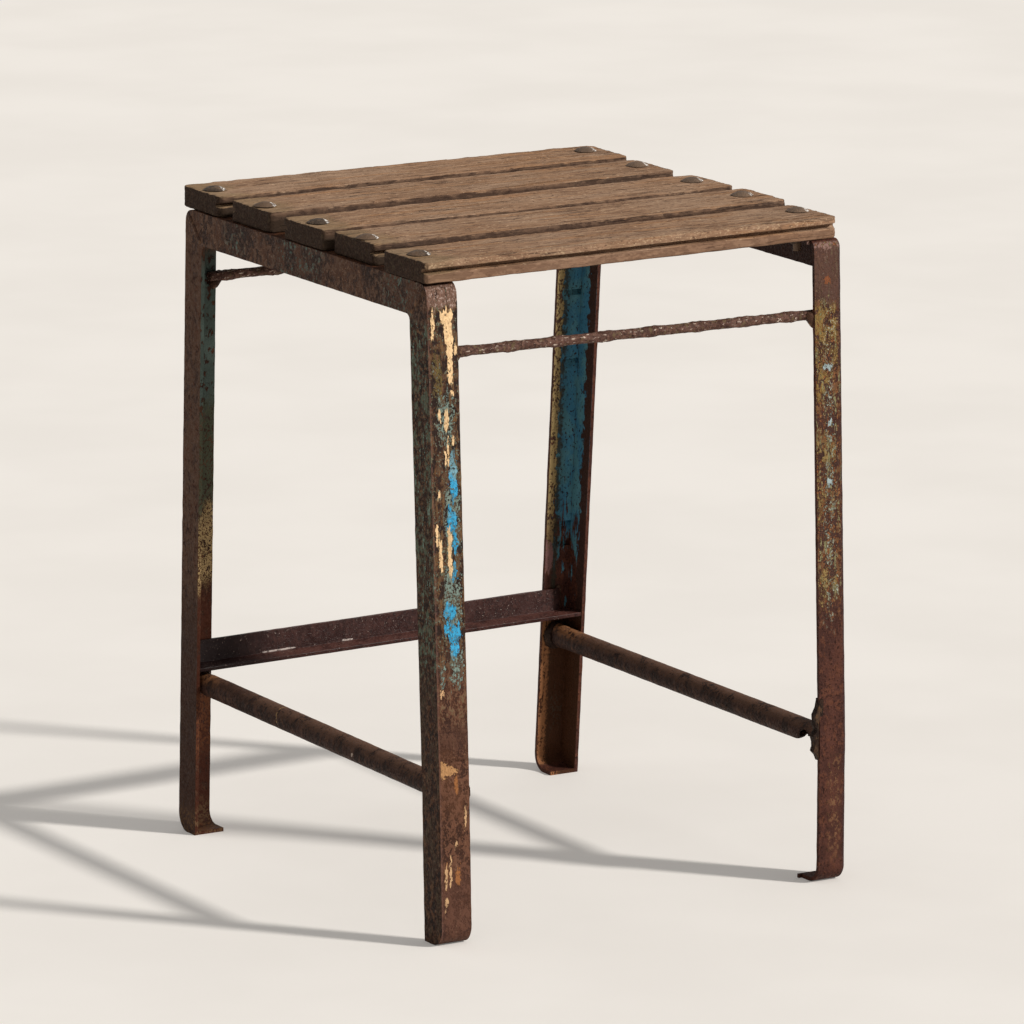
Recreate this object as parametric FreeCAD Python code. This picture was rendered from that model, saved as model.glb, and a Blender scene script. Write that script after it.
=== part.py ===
import FreeCAD, Part

import math
import os

# Industrial stool, in millimetres. X runs along the slats from left to right, Y from the front
# to the back, Z up. The origin is on the floor, in the middle of the box around the stool.
# Two side frames of bent angle steel carry five grooved boards. The frames are joined by a ribbed
# bar at the front, a ribbed bar at the back and an angle stretcher low at the back. A round tube
# ties the two legs of each side frame near the floor. Everything steel is welded, and the boards
# are bolted on.

Vector = FreeCAD.Vector

# Seat
seat_height = 500.5
slat_thickness = 16.5
slat_gap = 13.875
seat_depth = 358.0
seat_set_back = 4.8
slat_arris_wear = 1.6
slat_corner_wear = 4.0
groove_height = 2.6
groove_depth = 6.0
groove_drop = 5.9

# The slats from the back to the front, each with the edge that its groove is in
slats = ["slat_1_back", "slat_2", "slat_3_middle", "slat_4", "slat_5_front"]
groove_edges = ["front", "back", "back", "front", "front"]
# How far each slat passes the outer faces of the side frames, as shares of the slat's thickness
reach_left_shares = [-0.06, -0.12, 0.0, -0.21, 0.08]
reach_right_shares = [0.27, 0.1, 0.3, 0.41, 0.04]
# How far each slat stands behind its even place, and its right end behind its left end, as shares
# of the gap between two slats
set_back_shares = [0.0, 0.14, -0.22, 0.26, 0.0]
turn_shares = [-0.35, -0.17, 0.12, 0.04, 0.39]

# Side frames of angle steel, with the rails a little shorter than the seat
frame_width = 354.0
left_rail_shortfall = 5.0
right_rail_shortfall = 8.0
leg_flange = 25.0
leg_wall = 3.0
left_rail_bend_radius = 9.5
right_rail_bend_radius = 6.0
foot_bend_radius = 13.0
notch_radius = 5.0
# Width that the front right leg's front flange has lost along its free edge
front_right_flange_loss = 2.5

# How far each leg's outer face stands out from the end of its rail, at the knee, the height where
# its slope changes a little, and at the floor
knee_height = 112.0
front_left_splay_at_knee = 20.0
front_left_splay_at_floor = 24.0
back_left_splay_at_knee = 13.0
back_left_splay_at_floor = 16.0
front_right_splay_at_knee = 16.0
front_right_splay_at_floor = 16.5
back_right_splay_at_knee = 26.5
back_right_splay_at_floor = 35.5

# Ribbed bars under the seat
bar_core_diameter = 7.6
bar_rib_height = 0.8
bar_rib_width = 2.4
bar_twist_length = 80.0
bar_lap = 9.0
bar_step_angle = 22.5
front_bar_drop_left = 52.0
front_bar_drop_right = 55.5
back_bar_drop = 53.0

# Foot tubes
tube_diameter = 17.2
tube_wall = 2.0
left_tube_height = 114.7
left_tube_back_rise = 1.9
right_tube_drop = 4.7
tube_end_gap = 0.3
# The left tube's ends are squeezed lower and wider by this, the right tube's taller and narrower
tube_squash_length = 20.0
left_tube_squash = 3.4
right_tube_squash = 2.0
torn_length = 40.0
torn_rise = 12.0

# Back stretcher of angle steel
stretcher_flange = 20.0
stretcher_wall = 3.0
stretcher_clearance = 2.8
stretcher_web_cutback = 9.5

# Bolts and nuts
bolt_diameter = 6.0
bolt_length = 30.0
bolt_head_diameter = 17.0
bolt_head_height = 2.8
bolt_neck_length = 3.5
bolt_hole_clearance = 0.3
neck_clearance = 0.1
nut_across_flats = 10.0
nut_height = 5.0
thread_clearance = 0.1
hex_sides = 6
# How far the bolts of the back and the front slat stand in from the ends of the rails
back_left_bolt_inset = 21.9
back_right_bolt_inset = 15.8
front_left_bolt_inset = 31.3
front_right_bolt_inset = 37.8
# How far the other bolts stand behind their slats' middle lines, as shares of the slat's width
bolt_left_shares = [-0.07, -0.03, -0.09]
bolt_right_shares = [0.07, 0.07, 0.06]

# Weld beads
seam_bead_radius = 4.0
seam_bead_height = 0.9
seam_end_margin = 4.0
bar_bead_radius = 4.0
bar_bead_drop = 6.0
# How far a bar's bead runs back into the leg as it drops, which leaves a fillet under the bar
bar_bead_set_in = 3.0
tube_bead_size = 3.0
stretcher_bead_radius = 2.6
smear_reach = 6.0
smear_rise = 32.0
smear_thickness = 3.0

# Overrun of every cutting body
overrun = 5.0

frame_height = seat_height - slat_thickness
half_width = frame_width / 2
flange_inner_x = half_width - leg_wall
bolt_row_x = half_width - leg_flange / 2
slat_pitch = (seat_depth + slat_gap) / len(slats)
slat_width = slat_pitch - slat_gap
left_rail_depth = seat_depth - left_rail_shortfall
right_rail_depth = seat_depth - right_rail_shortfall
right_tube_height = left_tube_height - right_tube_drop
left_tube_top = left_tube_height + left_tube_back_rise + tube_diameter / 2
stretcher_top = left_tube_top + stretcher_clearance + stretcher_flange

# Each leg: its side (-1 left, 1 right), its end (-1 front, 1 back), rail depth and splays
legs = {
    "front_left": (-1, -1, left_rail_depth, front_left_splay_at_knee, front_left_splay_at_floor),
    "back_left": (-1, 1, left_rail_depth, back_left_splay_at_knee, back_left_splay_at_floor),
    "front_right": (1, -1, right_rail_depth, front_right_splay_at_knee, front_right_splay_at_floor),
    "back_right": (1, 1, right_rail_depth, back_right_splay_at_knee, back_right_splay_at_floor),
}

# The bolts of each side: half the rail's depth, the insets at its two ends and the inner shares
bolt_rows = {
    -1: (left_rail_depth / 2, back_left_bolt_inset, front_left_bolt_inset, bolt_left_shares),
    1: (right_rail_depth / 2, back_right_bolt_inset, front_right_bolt_inset, bolt_right_shares),
}


def leg_face(leg, z):
    """Y of a leg's outer face at height z."""
    side, end, rail_depth, at_knee, at_floor = legs[leg]
    if z >= knee_height:
        splay = at_knee * (frame_height - z) / (frame_height - knee_height)
    else:
        splay = at_knee + (at_floor - at_knee) * (knee_height - z) / knee_height
    return end * (rail_depth / 2 + splay)


def leg_inner_face(leg, z):
    """Y of the inner face of a leg's front or back flange at height z."""
    return leg_face(leg, z) - legs[leg][1] * leg_wall


def flange_edge_x(leg):
    """Distance of the free edge of a leg's front or back flange from the stool's middle."""
    loss = front_right_flange_loss if leg == "front_right" else 0
    return half_width - leg_flange + loss


def rounded_wire(corners):
    """Closed wire in the YZ plane through corners (y, z, radius), with tangent arcs."""
    count = len(corners)
    starts, ends, edges = [], [], []
    for i in range(count):
        here = Vector(0, corners[i][0], corners[i][1])
        before = Vector(0, corners[i - 1][0], corners[i - 1][1])
        after = Vector(0, corners[(i + 1) % count][0], corners[(i + 1) % count][1])
        radius = corners[i][2]
        towards_before = (before - here).normalize()
        towards_after = (after - here).normalize()
        half_angle = towards_before.getAngle(towards_after) / 2
        if radius == 0:
            starts.append(here)
            ends.append(here)
            continue
        tangent = radius / math.tan(half_angle)
        middle_way = (towards_before + towards_after).normalize()
        centre = here + middle_way * (radius / math.sin(half_angle))
        starts.append(here + towards_before * tangent)
        ends.append(here + towards_after * tangent)
        middle = centre - middle_way * radius
        edges.append(Part.Arc(starts[i], middle, ends[i]).toShape())
    for i in range(count):
        edges.append(Part.LineSegment(ends[i - 1], starts[i]).toShape())
    return Part.Wire(Part.__sortEdges__(edges))


def plate(corners, x, thickness):
    """Plate from x to x + thickness whose outline is the rounded wire."""
    face = Part.Face(rounded_wire(corners))
    face.translate(Vector(x, 0, 0))
    return face.extrude(Vector(thickness, 0, 0))


def slab(x_low, x_high, y_low, y_high, z_low, z_high):
    """Box between two corners."""
    size = Vector(x_high - x_low, y_high - y_low, z_high - z_low)
    return Part.makeBox(size.x, size.y, size.z, Vector(x_low, y_low, z_low))


def outer_line(front, back, inset, foot_radius, rail_radius):
    """Corners of the frame's outer line, moved inwards by inset, from the front foot to the back."""
    top = frame_height - inset
    return [
        (leg_face(front, inset) + inset, inset, foot_radius),
        (leg_face(front, knee_height) + inset, knee_height, 0),
        (leg_face(front, top) + inset, top, rail_radius),
        (leg_face(back, top) - inset, top, rail_radius),
        (leg_face(back, knee_height) - inset, knee_height, 0),
        (leg_face(back, inset) - inset, inset, foot_radius),
    ]


def inner_line(front, back):
    """Corners of the side flange's inner edge, from the back foot to the front one."""
    top = frame_height - leg_flange
    return [
        (leg_face(back, 0) - leg_flange, 0, 0),
        (leg_face(back, knee_height) - leg_flange, knee_height, 0),
        (leg_face(back, top) - leg_flange, top, notch_radius),
        (leg_face(front, top) + leg_flange, top, notch_radius),
        (leg_face(front, knee_height) + leg_flange, knee_height, 0),
        (leg_face(front, 0) + leg_flange, 0, 0),
    ]


def slat_line(slat, x):
    """Y of a slat's middle line at x, for a slat counted from the back."""
    even_place = seat_set_back + (seat_depth - slat_width) / 2 - slat * slat_pitch
    middle = even_place + set_back_shares[slat] * slat_gap
    return middle + turn_shares[slat] * slat_gap * x / frame_width


def bolt_place(side, slat):
    """Middle of a bolt hole, for side -1 or 1."""
    half_rail, back_inset, front_inset, shares = bolt_rows[side]
    x = side * bolt_row_x
    if slat == 0:
        return Vector(x, half_rail - back_inset, 0)
    if slat == len(slats) - 1:
        return Vector(x, front_inset - half_rail, 0)
    return Vector(x, slat_line(slat, x) + shares[slat - 1] * slat_width, 0)


def side_frame(side):
    """Angle steel bent into a rail, two legs and two feet, with the corner at the outside."""
    front = "front_left" if side < 0 else "front_right"
    back = "back_left" if side < 0 else "back_right"
    rail_bend_radius = left_rail_bend_radius if side < 0 else right_rail_bend_radius
    outer = outer_line(front, back, 0, foot_bend_radius, rail_bend_radius)
    toe_back = (leg_face(back, 0) - leg_flange, 0, 0)
    toe_front = (leg_face(front, 0) + leg_flange, 0, 0)
    side_flange = plate(outer + inner_line(front, back), side * half_width, -side * leg_wall)
    inner_foot_radius = foot_bend_radius - leg_wall
    inner_rail_radius = rail_bend_radius - leg_wall
    inside = outer_line(front, back, leg_wall, inner_foot_radius, inner_rail_radius)
    inside.reverse()
    wrap = outer + [toe_back, (toe_back[0], leg_wall, 0)] + inside
    wrap += [(toe_front[0], leg_wall, 0), toe_front]
    wrapped_flange = plate(wrap, side * half_width, -side * leg_flange)
    frame = side_flange.fuse(wrapped_flange).removeSplitter()
    if side > 0:
        whole_edge_x = half_width - leg_flange
        behind_bend = leg_face(front, frame_height) + rail_bend_radius
        frame = frame.cut(slab(whole_edge_x - overrun, flange_edge_x(front), -frame_width,
                               behind_bend, -overrun, frame_height + overrun))
    for slat in range(len(slats)):
        hole_radius = bolt_diameter / 2 + bolt_hole_clearance
        foot_of_hole = bolt_place(side, slat) + Vector(0, 0, frame_height - leg_wall - overrun)
        frame = frame.cut(Part.makeCylinder(hole_radius, leg_wall + 2 * overrun, foot_of_hole))
    return frame


def slat_board(slat):
    """One board with worn edges, a groove along one edge and a bolt hole near each end."""
    x_left = -half_width - reach_left_shares[slat] * slat_thickness
    x_right = half_width + reach_right_shares[slat] * slat_thickness
    half_slat = slat_width / 2
    board = slab(x_left, x_right, -half_slat, half_slat, frame_height, seat_height)
    upright = [e for e in board.Edges if e.BoundBox.ZLength > slat_thickness / 2]
    board = board.makeFillet(slat_corner_wear, upright)
    top_edges = [e for e in board.Edges if e.BoundBox.ZMin > frame_height + slat_thickness / 2]
    board = board.makeFillet(slat_arris_wear, top_edges)
    groove_top = seat_height - groove_drop
    if groove_edges[slat] == "front":
        groove_y = (-half_slat - overrun, -half_slat + groove_depth)
    else:
        groove_y = (half_slat - groove_depth, half_slat + overrun)
    board = board.cut(slab(x_left - overrun, x_right + overrun, groove_y[0], groove_y[1],
                           groove_top - groove_height, groove_top))
    turn = math.degrees(math.atan(turn_shares[slat] * slat_gap / frame_width))
    board.rotate(Vector(0, 0, 0), Vector(0, 0, 1), turn)
    board.translate(Vector(0, slat_line(slat, 0), 0))
    for side in (-1, 1):
        place = bolt_place(side, slat)
        hole_radius = bolt_diameter / 2 + bolt_hole_clearance
        low = place + Vector(0, 0, frame_height - overrun)
        board = board.cut(Part.makeCylinder(hole_radius, slat_thickness + 2 * overrun, low))
        half_neck = bolt_diameter / 2 + neck_clearance
        pocket_floor = seat_height - bolt_neck_length - neck_clearance
        pocket = slab(place.x - half_neck, place.x + half_neck, place.y - half_neck,
                      place.y + half_neck, pocket_floor, seat_height + overrun)
        board = board.cut(pocket)
    return board


def slat_bolts(side):
    """Low domed bolts with a square neck, one at this end of every slat."""
    bolts = []
    head_radius = bolt_head_diameter / 2
    dome_radius = (head_radius ** 2 + bolt_head_height ** 2) / (2 * bolt_head_height)
    for slat in range(len(slats)):
        place = bolt_place(side, slat)
        on_seat = place + Vector(0, 0, seat_height)
        dome = Part.makeSphere(dome_radius, on_seat + Vector(0, 0, bolt_head_height - dome_radius))
        head = dome.common(Part.makeCylinder(head_radius, bolt_head_height, on_seat))
        half_neck = bolt_diameter / 2
        neck = slab(place.x - half_neck, place.x + half_neck, place.y - half_neck,
                    place.y + half_neck, seat_height - bolt_neck_length, seat_height)
        shank = Part.makeCylinder(bolt_diameter / 2, bolt_length, on_seat - Vector(0, 0, bolt_length))
        bolts.append(head.fuse([neck, shank]).removeSplitter())
    return Part.makeCompound(bolts)


def bolt_nuts(side):
    """Hexagon nuts drawn up against the underside of the rail."""
    nuts = []
    corner_radius = nut_across_flats / 2 / math.cos(math.pi / hex_sides)
    for slat in range(len(slats)):
        under_rail = bolt_place(side, slat) + Vector(0, 0, frame_height - leg_wall - nut_height)
        corners = []
        for i in range(hex_sides + 1):
            angle = 2 * math.pi * i / hex_sides
            corners.append(under_rail + Vector(math.cos(angle), math.sin(angle), 0) * corner_radius)
        block = Part.Face(Part.makePolygon(corners)).extrude(Vector(0, 0, nut_height))
        bore_radius = bolt_diameter / 2 + thread_clearance
        low = under_rail - Vector(0, 0, overrun)
        nuts.append(block.cut(Part.makeCylinder(bore_radius, nut_height + 2 * overrun, low)))
    return Part.makeCompound(nuts)


def bar_section(x, turn):
    """Section of a ribbed bar at x: a round core as a polygon with two opposite ribs."""
    core = bar_core_diameter / 2
    crest = core + bar_rib_height
    quarter_turn = math.pi / 2
    half_turn = math.pi
    rib_half_angle = bar_rib_width / 2 / core
    shoulder = (quarter_turn + rib_half_angle) / 2
    half = [(0, crest), (rib_half_angle, core), (shoulder, core), (quarter_turn, core),
            (half_turn - shoulder, core), (half_turn - rib_half_angle, core)]
    corners = []
    for start in (0, half_turn):
        for angle, radius in half:
            around = start + angle + turn
            corners.append(Vector(x, radius * math.cos(around), radius * math.sin(around)))
    return Part.makePolygon(corners + corners[:1])


def ribbed_bar(left_leg, right_leg, z_left, z_right):
    """Twisted ribbed bar lapped on the inner faces of two legs' flanges."""
    crest = bar_core_diameter / 2 + bar_rib_height
    end = legs[left_leg][1]
    y_left = leg_inner_face(left_leg, z_left - crest) - end * crest
    y_right = leg_inner_face(right_leg, z_right - crest) - end * crest
    start = Vector(-flange_edge_x(left_leg) - bar_lap, y_left, z_left)
    finish = Vector(flange_edge_x(right_leg) + bar_lap, y_right, z_right)
    if end < 0:
        start.y = max(start.y, leg_inner_face(left_leg, z_left + crest) + crest)
        finish.y = max(finish.y, leg_inner_face(right_leg, z_right + crest) + crest)
    else:
        start.y = min(start.y, leg_inner_face(left_leg, z_left + crest) - crest)
        finish.y = min(finish.y, leg_inner_face(right_leg, z_right + crest) - crest)
    length = (finish - start).Length
    total_turn = 2 * math.pi * length / bar_twist_length
    steps = math.ceil(total_turn / math.radians(bar_step_angle))
    sections = [bar_section(length * i / steps, total_turn * i / steps) for i in range(steps + 1)]
    bar = Part.makeLoft(sections, True, True)
    bar.Placement = FreeCAD.Placement(start, FreeCAD.Rotation(Vector(1, 0, 0), finish - start))
    return bar


def tube_squash(side):
    """How much the ends of the left or the right tube are squeezed."""
    return left_tube_squash if side < 0 else right_tube_squash


def tube_line(side):
    """Both ends of a foot tube's middle line, front and back, just clear of the legs' flanges."""
    front, back, height, rise = "front_left", "back_left", left_tube_height, left_tube_back_rise
    if side > 0:
        front, back, height, rise = "front_right", "back_right", right_tube_height, 0
    radius = tube_diameter / 2
    x = side * (flange_inner_x - radius - tube_squash(side) / 2)
    ends = []
    for leg, z in ((front, height - rise), (back, height + rise)):
        y = leg_inner_face(leg, z + radius) - legs[leg][1] * tube_end_gap
        ends.append(Vector(x, y, z))
    return ends


def foot_tube(side):
    """Round tube between the two legs of a side frame, squeezed a little flat at its ends."""
    start, finish = tube_line(side)
    length = (finish - start).Length
    radius = tube_diameter / 2
    parts = []
    for wall in (0, tube_wall):
        wide = radius - side * tube_squash(side) / 2 - wall
        flat = radius + side * tube_squash(side) / 2 - wall
        over = overrun if wall else 0
        stations = [(-over, wide, flat), (tube_squash_length / 4, wide, flat),
                    (tube_squash_length, radius - wall, radius - wall)]
        mirrored = [(length - y, rx, rz) for y, rx, rz in reversed(stations)]
        pieces = []
        for group in (stations, [stations[-1], mirrored[0]], mirrored):
            wires = [oval_wire(y, rx, rz) for y, rx, rz in group]
            pieces.append(Part.makeLoft(wires, True, len(group) == 2))
        parts.append(pieces[0].fuse(pieces[1:]).removeSplitter())
    tube = parts[0].cut(parts[1])
    tube.Placement = FreeCAD.Placement(start, FreeCAD.Rotation(Vector(0, 1, 0), finish - start))
    if side > 0:
        tube = tube.cut(torn_cutter(start, finish))
    return tube


def oval_wire(y, radius_x, radius_z):
    """Closed oval of four arcs across the Y axis, with its seam at the side."""
    arcs = []
    quarter = math.pi / 2
    for i in range(4):
        points = []
        for angle in (quarter * i, quarter * (i + 0.5), quarter * (i + 1)):
            points.append(Vector(radius_x * math.cos(angle), y, radius_z * math.sin(angle)))
        arcs.append(Part.Arc(*points).toShape())
    return Part.Wire(arcs)


def torn_cutter(start, finish):
    """Ragged body that eats away the underside of the right tube's front end."""
    # Shares of the torn length along the tube and of the torn rise above the tube's underside
    torn_shares = [(0.0, 0.5), (0.3, 0.75), (0.46, 0.93), (0.57, 0.98), (0.68, 0.74), (0.71, 0.43),
                   (0.77, 0.22), (0.81, 0.2), (0.92, 0.34), (0.95, 0.07), (0.99, -0.05), (1.03, -0.25)]
    slope = (finish.z - start.z) / (finish.y - start.y)
    x = start.x - tube_diameter
    underside = start.z - tube_diameter / 2
    corners = [Vector(x, start.y - overrun, underside - overrun),
               Vector(x, start.y - overrun, underside + torn_rise * torn_shares[0][1])]
    for along_share, up_share in torn_shares:
        along = torn_length * along_share
        corners.append(Vector(x, start.y + along, underside + slope * along + torn_rise * up_share))
    corners.append(Vector(x, corners[-1].y, underside - overrun - torn_rise))
    ragged = Part.Face(Part.makePolygon(corners + corners[:1]))
    return ragged.extrude(Vector(2 * tube_diameter, 0, 0))


def back_stretcher():
    """Angle steel low at the back, upright web behind and flat flange at the bottom."""
    bottom = stretcher_top - stretcher_flange
    # The web's back touches the left flange at its free edge and the right one at the web's end
    x_touch_left = -(half_width - leg_flange)
    x_web_end = flange_inner_x - stretcher_web_cutback
    y_left = leg_inner_face("back_left", stretcher_top)
    y_right = leg_inner_face("back_right", stretcher_top)
    lean = math.degrees(math.atan2(y_right - y_left, x_web_end - x_touch_left))
    web = slab(-frame_width, frame_width, -stretcher_wall, 0, 0, stretcher_flange)
    flange = slab(-frame_width, frame_width, -stretcher_flange, 0, 0, stretcher_wall)
    stretcher = web.fuse(flange).removeSplitter()
    stretcher.rotate(Vector(0, 0, 0), Vector(0, 0, 1), lean)
    stretcher.translate(Vector(x_touch_left, y_left, bottom))
    between_frames = slab(-flange_inner_x, flange_inner_x, -seat_depth, seat_depth,
                          bottom - overrun, stretcher_top + overrun)
    stretcher = stretcher.common(between_frames)
    for side in (-1, 1):
        x_ends = sorted((side * x_web_end, side * (flange_inner_x + overrun)))
        stretcher = stretcher.cut(slab(x_ends[0], x_ends[1], -seat_depth, seat_depth,
                                       bottom + stretcher_wall, stretcher_top + overrun))
    return stretcher


def capsule(start, finish, radius):
    """Round rod with ball ends."""
    rod = Part.makeCylinder(radius, (finish - start).Length, start, finish - start)
    return rod.fuse([Part.makeSphere(radius, start), Part.makeSphere(radius, finish)])


def solids_left(body, *others):
    """What stays of a bead outside its neighbours, without crumbs."""
    for other in others:
        body = body.cut(other)
    largest = max(body.Solids, key=lambda solid: solid.Volume)
    return largest


def corner_welds(side, frame):
    """Beads along the mitred seams on the outer side of the frame's two top corners."""
    beads = []
    sunk = seam_bead_radius - seam_bead_height
    x = side * (half_width - sunk)
    for leg in legs:
        if legs[leg][0] != side:
            continue
        end = legs[leg][1]
        low_z = frame_height - leg_flange
        inner = Vector(x, leg_face(leg, low_z) - end * leg_flange, low_z)
        outer = Vector(x, leg_face(leg, frame_height), frame_height)
        along = (outer - inner).normalize()
        rail_bend_radius = left_rail_bend_radius if side < 0 else right_rail_bend_radius
        start = inner + along * seam_end_margin
        finish = outer - along * (rail_bend_radius / 2 + seam_bead_radius)
        bead = capsule(start, finish, seam_bead_radius)
        outside = slab(half_width, half_width + overrun, -seat_depth, seat_depth, 0, seat_height)
        if side < 0:
            outside = slab(-half_width - overrun, -half_width, -seat_depth, seat_depth, 0, seat_height)
        beads.append(solids_left(bead.common(outside), frame))
    return Part.makeCompound(beads)


def bar_welds(left_leg, right_leg, bar, frames):
    """Beads where a ribbed bar leaves the free edges of two legs' flanges."""
    beads = []
    for leg in (left_leg, right_leg):
        side, end = legs[leg][:2]
        x_edge = flange_edge_x(leg)
        z = bar_height_at(left_leg, side)
        y = leg_inner_face(leg, z) - end * bar_core_diameter / 4
        start = Vector(side * (x_edge - bar_bead_set_in / 2), y, z)
        finish = Vector(side * (x_edge + bar_bead_set_in), y, z - bar_bead_drop)
        bead = capsule(start, finish, bar_bead_radius)
        beads.append(solids_left(bead, bar, frames[side]))
    return Part.makeCompound(beads)


def bar_height_at(left_leg, side):
    """Z of a ribbed bar at its left or right end."""
    if left_leg == "back_left":
        return frame_height - back_bar_drop
    return frame_height - (front_bar_drop_left if side < 0 else front_bar_drop_right)


def tube_welds(side, tube, frame):
    """Collars of weld round both ends of a foot tube, against the legs' flanges."""
    beads = []
    radius = tube_diameter / 2
    for end, middle in zip((-1, 1), tube_line(side)):
        start = middle + Vector(0, end * leg_wall, 0)
        wide = radius + tube_squash(side) / 2 + tube_bead_size
        inwards = Vector(0, -end, 0)
        collar = Part.makeCone(wide, radius, leg_wall + tube_bead_size * 2, start, inwards)
        core_radius = radius + tube_squash(side) / 2 - tube_wall / 2
        core = Part.makeCylinder(core_radius, tube_diameter, start, inwards)
        if side > 0 and end < 0:
            collar = collar.fuse(torn_smear(middle))
        beads.append(solids_left(collar, core, tube, frame))
    return Part.makeCompound(beads)


def torn_smear(tube_end):
    """Ragged smear of old weld on the free edge of the front right leg, round the tube's end."""
    # Shares of the smear's reach past the flange's edge and of its rise above the tube's middle
    smear_shares = [(-0.6, 1.0), (0.0, 1.0), (0.2, 0.8), (0.62, 0.62), (0.62, 0.35), (0.33, 0.25),
                    (0.95, 0.12), (0.65, -0.03), (0.63, -0.12), (0.8, -0.25), (0.28, -0.36),
                    (0.0, -0.48), (-0.6, -0.48)]
    edge = flange_edge_x("front_right")
    corners = []
    for reach_share, rise_share in smear_shares:
        z = tube_end.z + smear_rise * rise_share
        corners.append(Vector(edge - smear_reach * reach_share, tube_end.y, z))
    face = Part.Face(Part.makePolygon(corners + corners[:1]))
    face.translate(Vector(0, -smear_thickness, 0))
    return face.extrude(Vector(0, 2 * smear_thickness, 0))


def stretcher_welds(stretcher, frames):
    """Upright beads at both ends of the stretcher's web."""
    beads = []
    x_end = flange_inner_x - stretcher_web_cutback
    for leg in ("back_left", "back_right"):
        side = legs[leg][0]
        low = stretcher_top - stretcher_flange + stretcher_wall + stretcher_bead_radius
        y_low = leg_inner_face(leg, low)
        y_high = leg_inner_face(leg, stretcher_top)
        start = Vector(side * x_end, y_low, low)
        finish = Vector(side * x_end, y_high, stretcher_top)
        bead = capsule(start, finish, stretcher_bead_radius)
        beads.append(solids_left(bead, stretcher, frames[side]))
    return Part.makeCompound(beads)


def build():
    """Every piece by name, around the middle of the seat."""
    frames = {-1: side_frame(-1), 1: side_frame(1)}
    front_left_z = bar_height_at("front_left", -1)
    front_right_z = bar_height_at("front_left", 1)
    back_z = bar_height_at("back_left", 1)
    front_bar = ribbed_bar("front_left", "front_right", front_left_z, front_right_z)
    back_bar = ribbed_bar("back_left", "back_right", back_z, back_z)
    tubes = {-1: foot_tube(-1), 1: foot_tube(1)}
    stretcher = back_stretcher()
    pieces = {name: slat_board(i) for i, name in enumerate(slats)}
    pieces["front_ribbed_bar"] = front_bar
    pieces["back_ribbed_bar"] = back_bar
    pieces["back_stretcher"] = stretcher
    for side, name in ((-1, "left"), (1, "right")):
        pieces[name + "_side_frame"] = frames[side]
        pieces[name + "_foot_tube"] = tubes[side]
        pieces[name + "_slat_bolts"] = slat_bolts(side)
        pieces[name + "_bolt_nuts"] = bolt_nuts(side)
        pieces[name + "_corner_welds"] = corner_welds(side, frames[side])
        pieces[name + "_tube_welds"] = tube_welds(side, tubes[side], frames[side])
    pieces["front_bar_welds"] = bar_welds("front_left", "front_right", front_bar, frames)
    pieces["back_bar_welds"] = bar_welds("back_left", "back_right", back_bar, frames)
    pieces["stretcher_welds"] = stretcher_welds(stretcher, frames)
    return pieces


def middle_of_footprint():
    """Middle of the box around the stool, in plan."""
    # The legs stand out furthest where their feet start to bend
    bend = foot_bend_radius
    front = min(leg_face("front_left", bend), leg_face("front_right", bend))
    back = max(leg_face("back_left", bend), leg_face("back_right", bend))
    left = -half_width - max(reach_left_shares) * slat_thickness
    right = half_width + max(reach_right_shares) * slat_thickness
    return Vector((left + right) / 2, (front + back) / 2, 0)


os.makedirs("parts", exist_ok=True)
shift = middle_of_footprint() * -1
for name, shape in build().items():
    shape.translate(shift)
    shape.exportStep("parts/" + name + ".step")
    print(name, len(shape.Solids), "solids", "volume %.0f" % shape.Volume, "valid", shape.isValid())
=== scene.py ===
import math

import bpy
from mathutils import Matrix, Vector


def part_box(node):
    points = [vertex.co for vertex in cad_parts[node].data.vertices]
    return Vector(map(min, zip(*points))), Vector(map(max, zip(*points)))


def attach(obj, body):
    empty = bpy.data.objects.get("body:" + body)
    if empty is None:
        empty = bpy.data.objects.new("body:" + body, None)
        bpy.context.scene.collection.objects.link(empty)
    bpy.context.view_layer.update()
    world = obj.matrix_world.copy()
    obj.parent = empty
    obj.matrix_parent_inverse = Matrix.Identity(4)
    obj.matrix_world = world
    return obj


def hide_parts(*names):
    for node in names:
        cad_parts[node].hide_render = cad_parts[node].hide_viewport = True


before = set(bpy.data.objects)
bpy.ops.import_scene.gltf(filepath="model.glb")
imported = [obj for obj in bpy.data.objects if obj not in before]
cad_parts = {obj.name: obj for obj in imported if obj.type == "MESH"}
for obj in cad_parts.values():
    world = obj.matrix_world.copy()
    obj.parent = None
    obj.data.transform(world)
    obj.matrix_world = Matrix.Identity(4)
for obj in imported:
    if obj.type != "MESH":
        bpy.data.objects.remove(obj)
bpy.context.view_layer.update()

# Industrial stool, in metres, in the frame of the CAD model: X along the slats to the right,
# Y from the front to the back, Z up, the origin on the floor.

MM = 0.001

# X of the side frames' outer faces, and the height of the seat's top
OUTER_LEFT = -179.72 * MM
OUTER_RIGHT = 174.28 * MM
SEAT_TOP = 500.5 * MM

# Where one finish gives way to another: Y towards the back legs (and, negative, towards the
# front ones), Z from the legs to the rail, and X from the left side to the right
LEG_FADE = (0.1, 0.12)
RAIL_FADE = (452 * MM, 460 * MM)
SIDE_FADE = (-20 * MM, 20 * MM)

# How far a noise's values spread round 0.5
NOISE_SPREAD = 0.27


# ---------------------------------------------------------------- writing shaders

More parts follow.
